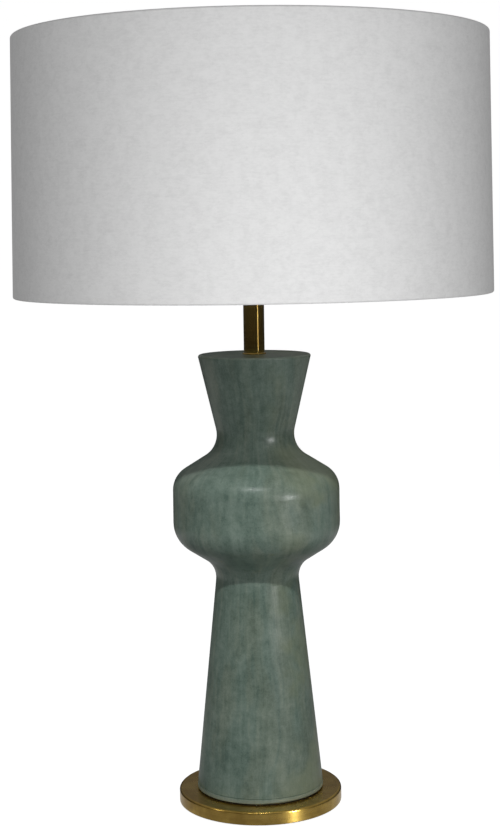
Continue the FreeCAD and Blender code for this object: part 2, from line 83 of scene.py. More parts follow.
@dataclass(frozen=True)
class Signal:
    """An output socket of a shader's tree that arithmetic can be written on."""

    shader: "Shader"
    socket: NodeSocket

    def maths(self, operation: str, *others: "float | Signal", clamp: bool = False) -> "Signal":
        """Adds one Math node.

        Args:
            operation: Blender's name of the operation.
            others: The operands after this one.
            clamp: Whether the result is held between 0 and 1.

        Returns:
            The result's signal.
        """
        operands = dict(enumerate((self, *others)))
        node = self.shader.node("ShaderNodeMath", {"operation": operation, "use_clamp": clamp}, operands)
        return Signal(self.shader, node.outputs[0])

    def __add__(self, other: "float | Signal") -> "Signal":
        """Sum."""
        return self.maths("ADD", other)

    __radd__ = __add__

    def __sub__(self, other: "float | Signal") -> "Signal":
        """Difference."""
        return self.maths("SUBTRACT", other)

    def __rsub__(self, other: float) -> "Signal":
        """Difference from a plain number."""
        node = self.shader.node("ShaderNodeMath", {"operation": "SUBTRACT"}, {0: other, 1: self})
        return Signal(self.shader, node.outputs[0])

    def __mul__(self, other: "float | Signal") -> "Signal":
        """Product."""
        return self.maths("MULTIPLY", other)

    __rmul__ = __mul__

    def __truediv__(self, other: "float | Signal") -> "Signal":
        """Quotient."""
        return self.maths("DIVIDE", other)

    def __pow__(self, other: "float | Signal") -> "Signal":
        """Power."""
        return self.maths("POWER", other)

    def sine(self) -> "Signal":
        """Sine of a signal in radians."""
        return self.maths("SINE")

    def distance(self, other: "float | Signal") -> "Signal":
        """Absolute difference."""
        return (self - other).maths("ABSOLUTE")

    def between(self, low: float, high: float) -> "Signal":
        """Smooth rise from 0 at low to 1 at high; a low above high gives a fall."""
        share = self.maths("SUBTRACT", low).maths("DIVIDE", high - low, clamp=True)
        return share * share * (3.0 - 2.0 * share)


class Shader:
    """The node tree of a material or the world, with the few nodes that the finishes are made of."""

    def __init__(self, owner: Material | World) -> None:
        """Empties the owner's tree."""
        owner.use_nodes = True
        self.tree = owner.node_tree
        self.tree.nodes.clear()

    def node(
        self,
        kind: str,
        settings: dict[str, object] | None = None,
        sockets: dict[int | str, object] | None = None,
    ) -> Node:
        """Adds one node.

        Args:
            kind: Blender's type name of the node.
            settings: Attributes to set first.
            sockets: Values or signals by socket name or number.

        Returns:
            The node.
        """
        node = self.tree.nodes.new(kind)
        for name, value in (settings or {}).items():
            setattr(node, name, value)
        for key, value in (sockets or {}).items():
            if isinstance(value, Signal):
                self.tree.links.new(value.socket, node.inputs[key])
            else:
                node.inputs[key].default_value = value
        return node

    def output(self, node: Node, name: int | str = 0) -> Signal:
        """One output of a node as a signal."""
        return Signal(self, node.outputs[name])

    def position(self) -> Signal:
        """The surface point in the lamp's frame."""
        return self.output(self.node("ShaderNodeTexCoord"), "Object")

    def split(self, vector: Signal) -> tuple[Signal, Signal, Signal]:
        """The three parts of a vector."""
        node = self.node("ShaderNodeSeparateXYZ", sockets={0: vector})
        return self.output(node, 0), self.output(node, 1), self.output(node, 2)

    def vector(self, x: "float | Signal", y: "float | Signal", z: "float | Signal") -> Signal:
        """A vector from three parts."""
        return self.output(self.node("ShaderNodeCombineXYZ", sockets={0: x, 1: y, 2: z}))

    def noise(
        self,
        vector: Signal,
        scale: float = 1.0,
        detail: float = 2.0,
        roughness: float = 0.5,
        bend: float = 0.0,
    ) -> Signal:
        """Smooth noise.

        Args:
            vector: Where it is read.
            scale: Features per unit of the vector.
            detail: Octaves.
            roughness: Weight of the finer octaves.
            bend: How far the noise distorts itself.

        Returns:
            A signal about 0.5.
        """
        sockets = {"Vector": vector, "Scale": scale, "Detail": detail, "Roughness": roughness,
                   "Distortion": bend}
        return self.output(self.node("ShaderNodeTexNoise", sockets=sockets))

    def mix(self, share: "float | Signal", first: "Colour | Signal", second: "Colour | Signal") -> Signal:
        """Mixes two colours.

        Args:
            share: How much of the second.
            first: Colour or signal.
            second: Colour or signal.

        Returns:
            The mixed colour.
        """
        colours = [c if isinstance(c, Signal) else (*c, 1.0) for c in (first, second)]
        sockets = {0: share, 6: colours[0], 7: colours[1]}
        return self.output(self.node("ShaderNodeMix", {"data_type": "RGBA"}, sockets), 2)

    def ramp(self, value: Signal, stops: Sequence[tuple[float, Colour]]) -> Signal:
        """Looks a colour up along a ramp.

        Args:
            value: Place on the ramp.
            stops: Places and their colours, in rising order.

        Returns:
            The colour.
        """
        node = self.node("ShaderNodeValToRGB", sockets={0: value})
        elements = node.color_ramp.elements
        while len(elements) < len(stops):
            elements.new(1.0)
        for element, (place, colour) in zip(elements, stops):
            element.position = place
            element.color = (*colour, 1.0)
        return self.output(node)

    def bump(self, height: Signal, strength: float, depth: float, under: Signal | None = None) -> Signal:
        """A normal bent by a height.

        Args:
            height: The height signal, 0 to 1.
            strength: Share of the effect.
            depth: Real depth of a height of 1.
            under: A normal to build on.

        Returns:
            The bent normal.
        """
        sockets = {"Height": height, "Strength": strength, "Distance": depth}
        if under is not None:
            sockets["Normal"] = under
        return self.output(self.node("ShaderNodeBump", sockets=sockets))

    def surface(self, **sockets: object) -> None:
        """Ends the tree in a Principled surface; underscores in names stand for spaces."""
        named = {name.replace("_", " "): value for name, value in sockets.items()}
        self.close(self.node("ShaderNodeBsdfPrincipled", sockets=named))

    def close(self, node: Node, kind: str = "ShaderNodeOutputMaterial") -> None:
        """Ends the tree in a node."""
        self.node(kind, sockets={"Surface": self.output(node)})

    def lathe_place(self) -> tuple[Signal, Signal, Signal, Signal]:
        """Where a point lies on turned work.

        Returns:
            The two parts of the unit direction from the axis, the radius and the height.
        """
        x, y, z = self.split(self.position())
        radius = (x * x + y * y + 1e-9) ** 0.5
        return x / radius, y / radius, radius, z

    def round_axis(self, around: float, along: float, wander: "float | Signal" = 0.0) -> Signal:
        """A noise vector that wraps round the axis without a seam.

        Args:
            around: Units per turn over two pi.
            along: Units per metre of height.
            wander: How far it strays round the axis.

        Returns:
            The vector.
        """
        dx, dy, _, height = self.lathe_place()
        return self.vector(dx * around + wander, dy * around + wander, height * along)


@dataclass(frozen=True)
class Finish:
    """A surface finish that makes its material once."""

    title: str

    @cache
    def material(self) -> Material:
        """Makes the material at its first use.

        Returns:
            The finish's material.
        """
        made = bpy.data.materials.new(self.title)
        self.lay(Shader(made))
        return made

    def lay(self, shader: Shader) -> None:
        """Builds the finish in an empty tree."""
        raise NotImplementedError


@dataclass(frozen=True)
class AgedBrass(Finish):
    """Turned brass, darkened and lacquered."""

    bright: Colour = (0.80, 0.54, 0.125)
    dark: Colour = (0.50, 0.31, 0.060)
    roughness: float = 0.24
    brushing: float = 0.70
    across: float = 0.25
    lacquer: float = 0.28
    lacquer_roughness: float = 0.10
    line_scale: float = 2600.0
    line_depth: float = 0.03 * MM
    cloud_scale: float = 38.0
    spot_scale: float = 420.0

    def lay(self, shader: Shader) -> None:
        """Cloudy tone, fine lathe lines and a highlight spread across them.

        Args:
            shader: The material's empty tree.
        """
        place = shader.position()
        _, _, radius, height = shader.lathe_place()
        lines = shader.noise(shader.vector(radius, height, 0.0), self.line_scale, roughness=0.7)
        cloud = shader.noise(place, self.cloud_scale, detail=4.0, roughness=0.6)
        spots = shader.noise(place, self.spot_scale)
        tone = (cloud * 0.75 + lines * 0.25).between(0.36, 0.66)
        colour = shader.mix(tone, self.dark, self.bright)
        colour = shader.mix(spots.between(0.64, 0.78) * 0.25, colour, self.dark)
        rough = self.roughness + cloud.between(0.7, 0.35) * 0.05 + lines * 0.03
        shader.surface(
            Base_Color=colour,
            Metallic=1.0,
            Roughness=rough,
            Anisotropic=self.brushing,
            Anisotropic_Rotation=self.across,
            Coat_Weight=self.lacquer,
            Coat_Roughness=self.lacquer_roughness,
            Normal=shader.bump(lines, 0.20, self.line_depth),
        )


@dataclass(frozen=True)
class SageGlaze(Finish):
    """Satin grey-green glaze with soft vertical runs, paler at foot and rim; painted light on the right side.
    """

    teal_deep: Colour = (0.098, 0.152, 0.122)
    teal: Colour = (0.162, 0.228, 0.188)
    teal_pale: Colour = (0.226, 0.296, 0.248)
    grey_deep: Colour = (0.112, 0.153, 0.116)
    grey: Colour = (0.178, 0.231, 0.182)
    grey_pale: Colour = (0.250, 0.304, 0.244)
    olive: Colour = (0.250, 0.285, 0.170)
    edge: Colour = (0.33, 0.37, 0.30)
    dark_tone: float = 0.41
    pale_tone: float = 0.59
    line_rise: float = 4.6 * MM
    line_half: float = 0.5 * MM
    line_fade: float = 0.3
    rim_start: float = 2.6 * MM
    rim_full: float = 0.8 * MM
    rim_edge: float = 0.5 * MM
    wander_reach: float = 5.0
    blotch_scale: float = 20.0
    mottle_scale: float = 130.0
    grain_scale: float = 700.0
    peel_depth: float = 0.25 * MM
    swell_depth: float = 0.8 * MM

    def lay(self, shader: Shader) -> None:
        """Blotches, wandering runs, mottling, a paler foot band and rim and an orange-peel surface.

        The lit right side gets painted light, a greyer tint and olive patches; the foot groove gets painted
        shade.

        Args:
            shader: The material's empty tree.
        """
        low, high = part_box("ceramic_body")
        place = shader.position()
        side, _, _, height = shader.lathe_place()
        wander = shader.noise(place, 11.0) * self.wander_reach
        run_place = shader.round_axis(around=13.0, along=13.0, wander=wander)
        runs = shader.noise(run_place, detail=3.0, roughness=0.60, bend=0.4)
        thread_place = shader.round_axis(around=34.0, along=40.0, wander=wander)
        threads = shader.noise(thread_place, roughness=0.6, bend=0.3)
        blotch = shader.noise(place, self.blotch_scale, detail=4.0, roughness=0.60, bend=0.4)
        mottle = shader.noise(place, self.mottle_scale, detail=5.0, roughness=0.70)
        grain = shader.noise(place, self.grain_scale, detail=3.0, roughness=0.70)
        tone = blotch * 0.30 + runs * 0.19 + threads * 0.03 + mottle * 0.28 + grain * 0.20
        teals = shader.ramp(tone, self.stops(self.teal_deep, self.teal, self.teal_pale))
        greys = shader.ramp(tone, self.stops(self.grey_deep, self.grey, self.grey_pale))
        slow_place = shader.round_axis(around=2.4, along=9.0, wander=wander * 0.2)
        drift = shader.noise(slow_place, detail=3.0) * 0.7 + runs * 0.3
        # Painted light: the lit right side leans to the paler, greyer ramp.
        colour = shader.mix((drift + side * 0.05).between(0.42, 0.58), teals, greys)
        # Olive patches that vary at random, kept to the lit right side as painted light.
        patches = shader.noise(place, 17.0, detail=3.0, roughness=0.55)
        olive_and_painted_light = patches.between(0.46, 0.62) * side.between(0.05, 0.75)
        colour = shader.mix(olive_and_painted_light * 0.45, colour, self.olive)
        colour = shader.mix(grain.between(0.60, 0.74) * 0.35, colour, self.teal_deep)
        line = low.z + self.line_rise
        # A paler band above the foot line and at the top rim.
        pale_foot_band = height.between(line, line - self.line_rise * self.line_fade)
        outer = height.between(high.z - self.rim_start, high.z - self.rim_full)
        rim = outer * height.between(high.z, high.z - self.rim_edge)
        colour = shader.mix(pale_foot_band * 0.40 + rim * 0.35, colour, self.edge)
        # Painted shade: the foot groove's line is darkened.
        painted_groove_shade = height.distance(line).between(self.line_half, 0.0)
        colour = shader.mix(painted_groove_shade * 0.7, colour, self.teal_deep)
        peel = shader.noise(place, 240.0, detail=3.0, roughness=0.55)
        swell = shader.noise(place, 60.0)
        normal = shader.bump(peel, 0.35, self.peel_depth, shader.bump(swell, 0.30, self.swell_depth))
        shader.surface(Base_Color=colour, Roughness=0.25 + mottle * 0.14, Normal=normal)

    def stops(self, deep: Colour, mid: Colour, pale: Colour) -> tuple[tuple[float, Colour], ...]:
        """Ramp stops from the dark tone to the pale one."""
        middle = (self.dark_tone + self.pale_tone) / 2.0
        return (self.dark_tone, deep), (middle, mid), (self.pale_tone, pale)


@dataclass(frozen=True)
class WovenCloth(Finish):
    """Fine brushed cloth: a close weave under a soft mottled nap."""

    light: Colour = (0.785, 0.785, 0.785)
    shadow: Colour = (0.68, 0.68, 0.68)
    yarn: float = 0.55 * MM
    drum: float = 222.0 * MM
    fine: float = 900.0
    coarse: float = 60.0
    stray: float = 2.5
    nap_around: float = 190.0
    nap_along: float = 430.0
    nap_depth: float = 0.25 * MM

    def lay(self, shader: Shader) -> None:
        """Weave from crossed waves with slubs, and a mottled nap over it.

        Args:
            shader: The material's empty tree.
        """
        place = shader.position()
        x, y, height = shader.split(place)
        around = y.maths("ARCTAN2", x) * self.drum
        turns = 2.0 * math.pi / self.yarn
        slub = shader.noise(shader.round_axis(self.drum * self.fine, self.coarse), roughness=0.6)
        pick = shader.noise(shader.round_axis(self.drum * self.coarse, self.fine), roughness=0.6)
        warp = (around * turns + slub * self.stray).sine()
        weft = (height * turns + pick * self.stray).sine()
        weave = warp * weft * 0.5 + 0.5
        nap_place = shader.round_axis(self.drum * self.nap_around, self.nap_along)
        nap = shader.noise(nap_place, detail=4.0, roughness=0.72, bend=0.4)
        cloud = shader.noise(place, 95.0, detail=4.0, roughness=0.65, bend=0.3)
        tone = nap * 0.42 + cloud * 0.36 + slub * 0.04 + pick * 0.09 + weave * 0.09
        colour = shader.mix(tone.between(0.30, 0.62), self.shadow, self.light)
        relief = nap * 0.6 + weave * 0.4
        shader.surface(
            Base_Color=colour,
            Roughness=0.92,
            Specular_IOR_Level=0.15,
            Sheen_Weight=0.12,
            Sheen_Roughness=0.5,
            Normal=shader.bump(relief, 0.35, self.nap_depth),
        )


@dataclass(frozen=True)
class CoatedFilm(Finish):
    """White backing film inside the shade."""

    white: Colour = (0.82, 0.81, 0.78)
    shade: Colour = (0.74, 0.73, 0.70)

    def lay(self, shader: Shader) -> None:
        """Slightly clouded satin white.

        Args:
            shader: The material's empty tree.
        """
        place = shader.position()
        cloud = shader.noise(place, 24.0, detail=3.0)
        grain = shader.noise(place, 900.0)
        colour = shader.mix(cloud.between(0.3, 0.7), self.shade, self.white)
        shader.surface(
            Base_Color=colour,
            Roughness=0.55 + grain * 0.1,
            Specular_IOR_Level=0.35,
            Normal=shader.bump(grain, 0.2, 0.08 * MM),
        )


class Sheen(Enum):
    """How glossy a moulded or painted surface is."""

    MATTE = 0.62
    SATIN = 0.40
    GLOSS = 0.16


@dataclass(frozen=True)
class Moulding(Finish):
    """Plastic, rubber, enamel or glass: one body colour with a fine surface grain."""

    colour: Colour
    sheen: Sheen = Sheen.SATIN
    grain: float = 900.0
    relief: float = 0.04 * MM
    drift: float = 0.12

    def lay(self, shader: Shader) -> None:
        """Colour drift, grain and small changes of gloss.

        Args:
            shader: The material's empty tree.
        """
        place = shader.position()
        cloud = shader.noise(place, 60.0, detail=3.0)
        grain = shader.noise(place, self.grain, roughness=0.6)
        colour = shader.mix(cloud.between(0.3, 0.7), dimmed(self.colour, self.drift), self.colour)
        shader.surface(
            Base_Color=colour,
            Roughness=self.sheen.value + grain * 0.08,
            Normal=shader.bump(grain, 0.4, self.relief),
        )


@dataclass(frozen=True)
class PlainMetal(Finish):
    """Bare or plated metal with rolling marks."""

    colour: Colour
    roughness: float = 0.28
    stain: float = 0.25

    def lay(self, shader: Shader) -> None:
        """Cloudy plating and fine scratches.

        Args:
            shader: The material's empty tree.
        """
        place = shader.position()
        cloud = shader.noise(place, 90.0, detail=4.0, roughness=0.6)
        marks = shader.noise(place, 1500.0, roughness=0.6)
        colour = shader.mix(cloud.between(0.35, 0.65), dimmed(self.colour, self.stain), self.colour)
        shader.surface(
            Base_Color=colour,
            Metallic=1.0,
            Roughness=self.roughness + cloud * 0.12,
            Normal=shader.bump(marks, 0.3, 0.03 * MM),
        )


@dataclass(frozen=True)
class PressedFelt(Finish):
    """Pressed wool felt."""

    colour: Colour = (0.030, 0.030, 0.031)
    fibre: Colour = (0.075, 0.075, 0.078)

    def lay(self, shader: Shader) -> None:
        """Tangled fibres as distorted noise.

        Args:
            shader: The material's empty tree.
        """
        place = shader.position()
        fibres = shader.noise(place, 900.0, detail=5.0, roughness=0.75, bend=1.4)
        clumps = shader.noise(place, 160.0, detail=3.0, roughness=0.6)
        colour = shader.mix((fibres * 0.7 + clumps * 0.3).between(0.42, 0.64), self.colour, self.fibre)
        shader.surface(
            Base_Color=colour,
            Roughness=0.95,
            Specular_IOR_Level=0.1,
            Sheen_Weight=0.4,
            Sheen_Roughness=0.6,
            Normal=shader.bump(fibres, 0.8, 0.3 * MM),
        )


BRASS = AgedBrass("turned_brass")
TUBE_BRASS = AgedBrass("drawn_brass", roughness=0.13, brushing=0.35, lacquer=1.0, lacquer_roughness=0.05)
GLAZE = SageGlaze("satin_glaze")
CLOTH = WovenCloth("woven_cloth")
FILM = CoatedFilm("white_film")
WIRE = Moulding("white_enamel", (0.78, 0.78, 0.75), Sheen.SATIN)
OPAL = Moulding(
    "frosted_glass", (0.90, 0.89, 0.86), Sheen.GLOSS, grain=300.0, relief=0.02 * MM, drift=0.04
)
BLACK_GLASS = Moulding("black_glass", (0.012, 0.012, 0.013), Sheen.GLOSS)
CORE = Moulding("core_moulding", (0.035, 0.033, 0.031), Sheen.SATIN)
SWITCH = Moulding("switch_moulding", (0.022, 0.019, 0.017), Sheen.GLOSS)
BUSH = Moulding("bush_moulding", (0.022, 0.022, 0.022), Sheen.SATIN)
RUBBER = Moulding("gasket_moulding", (0.020, 0.020, 0.020), Sheen.MATTE, relief=0.1 * MM)
CONTACT = PlainMetal("bright_brass", (0.78, 0.58, 0.26), 0.24)
ZINC = PlainMetal("zinc_plate", (0.60, 0.61, 0.62), 0.34)
ALUMINIUM = PlainMetal("bare_aluminium", (0.74, 0.75, 0.76), 0.26, 0.15)
FELT = PressedFelt("pressed_felt")


NODE_SHARP = math.radians(32.0)


def dress(finish: Finish, *names: str) -> None:
    """Gives CAD nodes their finish.

    Args:
        finish: What they are made of.
        names: The nodes.
    """
    for name in names:
        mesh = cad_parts[name].data
        mesh.materials.clear()
        mesh.materials.append(finish.material())
        mesh.shade_smooth()
        mesh.set_sharp_from_angle(angle=NODE_SHARP)
        LOG.info("%s: %s", name, finish.title)


@dataclass(frozen=True)
class Corner:
    """A corner of a turned outline, blended by an arc."""

    radius: float
    height: float
    blend: float = 0.0


ARC_STEP = math.radians(12.0)


def traced(corners: Sequence[Corner], longest: float) -> list[Vector]:
    """Traces a closed outline, with its corners blended and its long runs divided.

    Args:
        corners: The outline's corners in order.
        longest: Longest run between points.

    Returns:
        Points as (radius, height).
    """
    points = []
    spots = [Vector((c.radius, c.height)) for c in corners]
    for i, corner in enumerate(corners):
        here = spots[i]
        if corner.blend <= 0.0:
            points.append(here)
            continue
        back = (spots[i - 1] - here).normalized()
        ahead = (spots[(i + 1) % len(spots)] - here).normalized()
        half = math.acos(max(-1.0, min(1.0, back.dot(ahead)))) / 2.0
        reach = corner.blend / math.tan(half)
        centre = here + (back + ahead).normalized() * (corner.blend / math.sin(half))
        start = here + back * reach - centre
        turn = math.pi - 2.0 * half
        if start.x * back.y - start.y * back.x > 0.0:
            turn = -turn
        steps = max(2, math.ceil(abs(turn) / ARC_STEP))
        for k in range(steps + 1):
            a = turn * k / steps
            spun = Vector((start.x * math.cos(a) - start.y * math.sin(a),
                           start.x * math.sin(a) + start.y * math.cos(a)))
            points.append(centre + spun)
    fine = []
    for here, ahead in zip(points, [*points[1:], points[0]]):
        steps = max(1, math.ceil((ahead - here).length / longest))
        fine += [here.lerp(ahead, k / steps) for k in range(steps)]
    return fine


Shape = Callable[[float, Vector], Vector]


def bands(rows: int, around: int, closed: bool) -> list[tuple[int, int, int, int]]:
    """Faces between neighbouring sections of a turned mesh.

    Args:
        rows: Number of points in a section.
        around: Number of sections.
        closed: Whether a section's last point joins its first.

    Returns:
        The faces as vertex numbers.
    """
    faces = []
    for i in range(around):
        a, b = i * rows, (i + 1) % around * rows
        for j in range(rows if closed else rows - 1):
            k = (j + 1) % rows
            faces.append((a + j, b + j, b + k, a + k))
    return faces


def lathe(
    name: str, corners: Sequence[Corner], longest: float, angles: Sequence[float], shape: Shape
) -> Mesh:
    """Mesh of revolution of a closed outline.

    Args:
        name: The mesh's name.
        corners: The outline's corners, none of them on the axis.
        longest: Longest run between its points.
        angles: Where the sections stand, in radians, in rising order.
        shape: Moves an outline point at an angle.

    Returns:
        The mesh.
    """
    outline = traced(corners, longest)
    vertices = []
    for angle in angles:
        for point in outline:
            moved = shape(angle, point)
            vertices.append((moved.x * math.cos(angle), moved.x * math.sin(angle), moved.y))
    mesh = bpy.data.meshes.new(name)
    mesh.from_pydata(vertices, [], bands(len(outline), len(angles), closed=True))
    mesh.validate()
    mesh.update()
    return mesh


def even_angles(count: int) -> list[float]:
    """Evenly spaced angles round the axis."""
    return [2.0 * math.pi * i / count for i in range(count)]


@dataclass(frozen=True)
class Piece:
    """A modelled piece and what it stands for."""

    name: str
    mesh: Mesh
    finish: Finish
    body: str
    slot: str
    replaces: tuple[str, ...] = ()
    sharp: float = 35.0

    def place(self) -> Object:
        """Puts the piece in the scene.

        Returns:
            Its object.
        """
        self.mesh.materials.append(self.finish.material())
        self.mesh.shade_smooth()
        self.mesh.set_sharp_from_angle(angle=math.radians(self.sharp))
        thing = linked(self.name, self.mesh)
        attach(thing, self.body)
        if self.replaces:
            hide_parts(*self.replaces)
        LOG.info("%s: %d faces", self.name, len(self.mesh.polygons))
        return thing


@dataclass(frozen=True)
class Thread:
    """A rounded screw thread cut into a turned surface."""

    pitch: float
    depth: float
    low: float
    high: float
    inner: float
    outer: float = math.inf

    def cut(self, angle: float, point: Vector) -> Vector:
        """Cuts the thread into one outline point; it fades out at its ends.

        Args:
            angle: Where the section stands.
            point: The point as (radius, height).

        Returns:
            The point, moved in where it lies on the threaded face.
        """
        reach, level = point
        if not (self.inner <= reach <= self.outer and self.low < level < self.high):
            return point
        wave = 0.5 - 0.5 * math.cos(2.0 * math.pi * level / self.pitch - angle)
        fade = min((level - self.low) / self.pitch, (self.high - level) / self.pitch, 1.0)
        return Vector((reach - self.depth * wave * max(0.0, fade), level))


class Stand:
    """Base disc, its hidden clamp parts and the cord inlet."""

    def build(self) -> None:
        """Dresses the pieces from the felt up to the gasket."""
        dress(BRASS, "base_plate")
        dress(FELT, "base_felt")
        dress(BUSH, "cord_bush")
        dress(RUBBER, "foot_gasket")
        dress(ZINC, "rod_washer", "rod_lock_washer", "rod_nut", "threaded_rod")


class Body:
    """Ceramic body and the neck on it."""

    def build(self) -> None:
        """Dresses the glazed body, the seat ring and the tube."""
        dress(GLAZE, "ceramic_body")
        dress(TUBE_BRASS, "neck_seat", "neck_tube")


@dataclass
class Lampholder:
    """Brass lampholder with its threaded skirt, core and switch."""

    wall: float = 1.2 * MM
    bore_gap: float = 0.2 * MM
    body_blend: float = 0.3 * MM
    root_blend: float = 0.25 * MM
    flange_blend: float = 0.5 * MM
    lip: float = 1.5 * MM
    lip_gap: float = 2.95 * MM
    skirt: float = 19.75 * MM
    skirt_wall: float = 1.4 * MM
    skirt_root: float = 0.3 * MM
    skirt_blend: float = 0.4 * MM
    thread_pitch: float = 2.5 * MM
    thread_depth: float = 0.45 * MM
    thread_start: float = 1.0 * MM
    thread_end: float = 0.6 * MM
    slack: float = 0.05 * MM
    hole_gap: float = 0.3 * MM
    hole_points: int = 40
    row: float = 0.3 * MM
    sections: int = 128

    def build(self) -> None:
        """Models the shell and dresses the rest."""
        self.shell()
        dress(BRASS, "holder_cap")
        dress(ZINC, "cap_lock_screw")
        dress(CORE, "holder_core")
        dress(SWITCH, "switch_bar")
        dress(CONTACT, "terminal_screws", "screw_shell", "centre_contact", "contact_leaves", "bridge_contact")

    def shell(self) -> None:
        """Shell with flange and a threaded skirt, pierced for the push bar."""
        low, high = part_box("holder_shell")
        carrier_low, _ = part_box("shade_carrier")
        cup_low, cup_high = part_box("screw_shell")
        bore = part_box("holder_core")[1].x + self.bore_gap
        body = bore + self.wall
        flange_top = carrier_low.z
        flange_bottom = cup_low.z
        inside = self.skirt - self.skirt_wall
        lip_top = flange_bottom + self.lip
        lip_bore = cup_high.x + self.lip_gap
        outline = [
            Corner(bore, low.z),
            Corner(body, low.z, self.body_blend),
            Corner(body, flange_bottom, self.root_blend),
            Corner(high.x, flange_bottom, self.flange_blend),
            Corner(high.x, flange_top, self.flange_blend),
            Corner(self.skirt, flange_top, self.skirt_root),
            Corner(self.skirt, high.z, self.skirt_blend),
            Corner(inside, high.z, self.skirt_blend),
            Corner(inside, lip_top),
            Corner(lip_bore, lip_top),
            Corner(lip_bore, flange_bottom),
            Corner(bore, flange_bottom),
        ]
        start, end = flange_top + self.thread_start, high.z - self.thread_end
        inner, outer = (self.skirt + inside) / 2.0, self.skirt + self.slack
        thread = Thread(self.thread_pitch, self.thread_depth, start, end, inner, outer)
        angles = even_angles(self.sections)
        mesh = lathe("holder_shell_brass", outline, self.row, angles, thread.cut)
        replaced = ("holder_shell",)
        self.pierce(Piece("holder_shell_threaded", mesh, BRASS, "root", "antique_brass", replaced).place())

    def pierce(self, shell: Object) -> None:
        """Cuts the two holes of the push bar.

        Args:
            shell: The modelled shell.
        """
        bar_low, bar_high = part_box("switch_bar")
        level = (bar_low.z + bar_high.z) / 2.0
        radius = (bar_high.z - bar_low.z) / 2.0 + self.hole_gap
        reach = shell.dimensions.x
        ring = even_angles(self.hole_points)
        vertices = [(side * reach, radius * math.cos(a), level + radius * math.sin(a))
                    for side in (-1.0, 1.0) for a in ring]
        count = len(ring)
        faces = [(i, (i + 1) % count, (i + 1) % count + count, i + count) for i in range(count)]
        faces += [tuple(range(count))[::-1], tuple(range(count, 2 * count))]
        mesh = bpy.data.meshes.new("bar_hole")
        mesh.from_pydata(vertices, [], faces)
        cutter = linked("bar_hole", mesh)
        cut = shell.modifiers.new("bar_hole", "BOOLEAN")
        cut.operation = "DIFFERENCE"
        cut.object = cutter
        cut.solver = "EXACT"
        bpy.context.view_layer.update()
        seen = shell.evaluated_get(bpy.context.evaluated_depsgraph_get())
        pierced = bpy.data.meshes.new_from_object(seen)
        shell.modifiers.clear()
        shell.data = pierced
        pierced.set_sharp_from_angle(angle=math.radians(Piece.sharp))
        bpy.data.objects.remove(cutter)


@dataclass
class Bulb:
    """Opal bulb with a rolled screw cap."""

    pitch: float = 3.629 * MM
    depth: float = 0.95 * MM
    taper: float = 2.0 * MM
    wall: float = 0.4 * MM
    shoulder_blend: float = 0.8 * MM
    rim_blend: float = 0.25 * MM
    inner_blend: float = 0.2 * MM
    foot_lip: float = 1.0 * MM
    foot_rise: float = 0.4 * MM
    thread_start: float = 1.2 * MM
    thread_end: float = 2.4 * MM
    row: float = 0.35 * MM
    sections: int = 120

    def build(self) -> None:
        """Models the cap and dresses the rest."""
        dress(OPAL, "bulb_glass")
        dress(BLACK_GLASS, "bulb_insulator")
        dress(ALUMINIUM, "bulb_tip")
        low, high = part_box("bulb_cap")
        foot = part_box("bulb_insulator")[1].x
        inside = high.x - self.wall - self.depth
        shoulder = low.z + self.taper
        outline = [
            Corner(foot, low.z),
            Corner(high.x, shoulder, self.shoulder_blend),
            Corner(high.x, high.z, self.rim_blend),
            Corner(inside, high.z, self.inner_blend),
            Corner(inside, shoulder),
            Corner(foot - self.foot_lip, low.z + self.foot_rise),
        ]
        start, end = low.z + self.thread_start, high.z - self.thread_end
        thread = Thread(self.pitch, self.depth, start, end, high.x - self.wall / 2.0)
        mesh = lathe("bulb_cap_rolled", outline, self.row, even_angles(self.sections), thread.cut)
        Piece("bulb_cap_threaded", mesh, ALUMINIUM, "bulb", "cap_aluminium", ("bulb_cap",)).place()


@dataclass(frozen=True)
class Wave:
    """One ripple of the stretched cloth."""

    around: int
    along: float
    phase: float
    weight: float

    @classmethod
    def drawn(cls, draw: random.Random) -> "Wave":
        """A ripple with its count, slant, phase and weight drawn in that order."""
        count, slant = draw.randint(2, 9), draw.uniform(4.0, 16.0)
        return cls(count, slant, draw.uniform(0.0, 6.28), draw.uniform(0.3, 1.0))

    def height(self, angle: float, level: float) -> float:
        """Its height at an angle and a level, before scaling."""
        return self.weight * math.sin(self.around * angle + self.along * level + self.phase)


